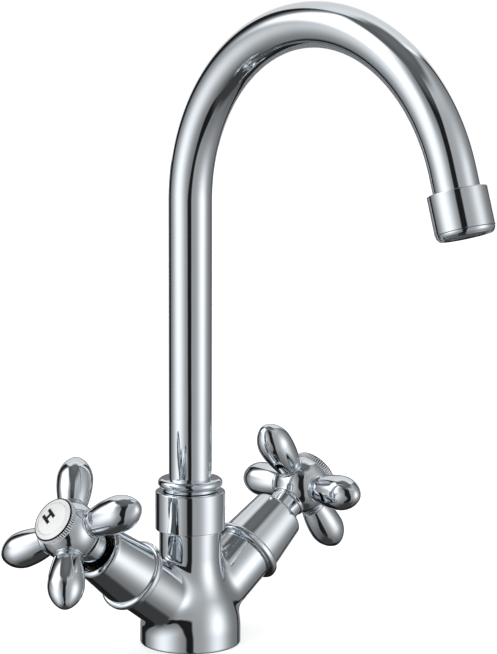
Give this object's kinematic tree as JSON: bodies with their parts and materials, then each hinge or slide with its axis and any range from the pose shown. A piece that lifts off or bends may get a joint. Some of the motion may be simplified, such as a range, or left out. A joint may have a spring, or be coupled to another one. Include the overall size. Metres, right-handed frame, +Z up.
{
  "type": "two handle kitchen faucet",
  "caption": "Chrome deck-mounted kitchen faucet: swivelling swan neck spout on a waisted body with two leaning arms that carry cross handles with teardrop levers.",
  "frame": {"origin": "centre of the round base's flat underside, on the deck", "axes": "+Z up along the spout riser; the spout reaches towards -Y; hot handle on -X, cold handle on +X"},
  "size_m": [0.2114, 0.2414, 0.3295],
  "materials": {
    "chrome": "bright chrome plate on brass",
    "brass": "machined brass",
    "rubber": "moulded black rubber",
    "slip_plastic": "low friction plastic",
    "insert_plastic": "moulded plastic",
    "screen_steel": "stainless mesh",
    "steel": "stainless steel",
    "ceramic": "lapped alumina ceramic",
    "white_enamel": "glossy white enamel"
  },
  "bodies": {
    "base": {"mixer_body": "chrome", "base_seal": "rubber", "spout_nut": "chrome", "swivel_washer": "slip_plastic", "hot_valve_body": "brass", "hot_seat_seal": "rubber", "hot_fixed_disc": "ceramic", "hot_valve_o_ring": "rubber", "hot_gland_o_ring": "rubber", "hot_dress_ring": "chrome", "hot_bonnet_cover": "chrome", "cold_valve_body": "brass", "cold_seat_seal": "rubber", "cold_fixed_disc": "ceramic", "cold_valve_o_ring": "rubber", "cold_gland_o_ring": "rubber", "cold_dress_ring": "chrome", "cold_bonnet_cover": "chrome"},
    "spout": {"spout_tube": "chrome", "spout_sleeve": "brass", "spout_o_rings": "rubber", "bead_ring": "chrome", "nozzle": "chrome", "aerator_housing": "chrome", "aerator_screen": "screen_steel", "aerator_insert": "insert_plastic", "aerator_washer": "rubber"},
    "hot_handle": {"hot_handle_hub": "chrome", "hot_lever_1": "chrome", "hot_lever_2": "chrome", "hot_lever_3": "chrome", "hot_lever_4": "chrome", "hot_index_ring": "chrome", "hot_index_disc": "white_enamel", "hot_spindle": "brass", "hot_spindle_clip": "steel", "hot_handle_screw": "steel", "hot_moving_disc": "ceramic"},
    "cold_handle": {"cold_handle_hub": "chrome", "cold_lever_1": "chrome", "cold_lever_2": "chrome", "cold_lever_3": "chrome", "cold_lever_4": "chrome", "cold_index_ring": "chrome", "cold_index_disc": "white_enamel", "cold_spindle": "brass", "cold_spindle_clip": "steel", "cold_handle_screw": "steel", "cold_moving_disc": "ceramic"}
  },
  "joints": [
    {"name": "spout_swivel", "type": "hinge", "parent": "base", "child": "spout", "pos_m": [0, 0, 0.06], "axis": [0, 0, 1], "continuous": true},
    {"name": "hot_valve_turn", "type": "hinge", "parent": "base", "child": "hot_handle", "pos_m": [0, 0, 0.01289], "axis": [-0.8114, 0, 0.5845], "range_deg": [0, 90]},
    {"name": "cold_valve_turn", "type": "hinge", "parent": "base", "child": "cold_handle", "pos_m": [0, 0, 0.01289], "axis": [0.8114, 0, 0.5845], "range_deg": [-90, 0]}
  ]
}
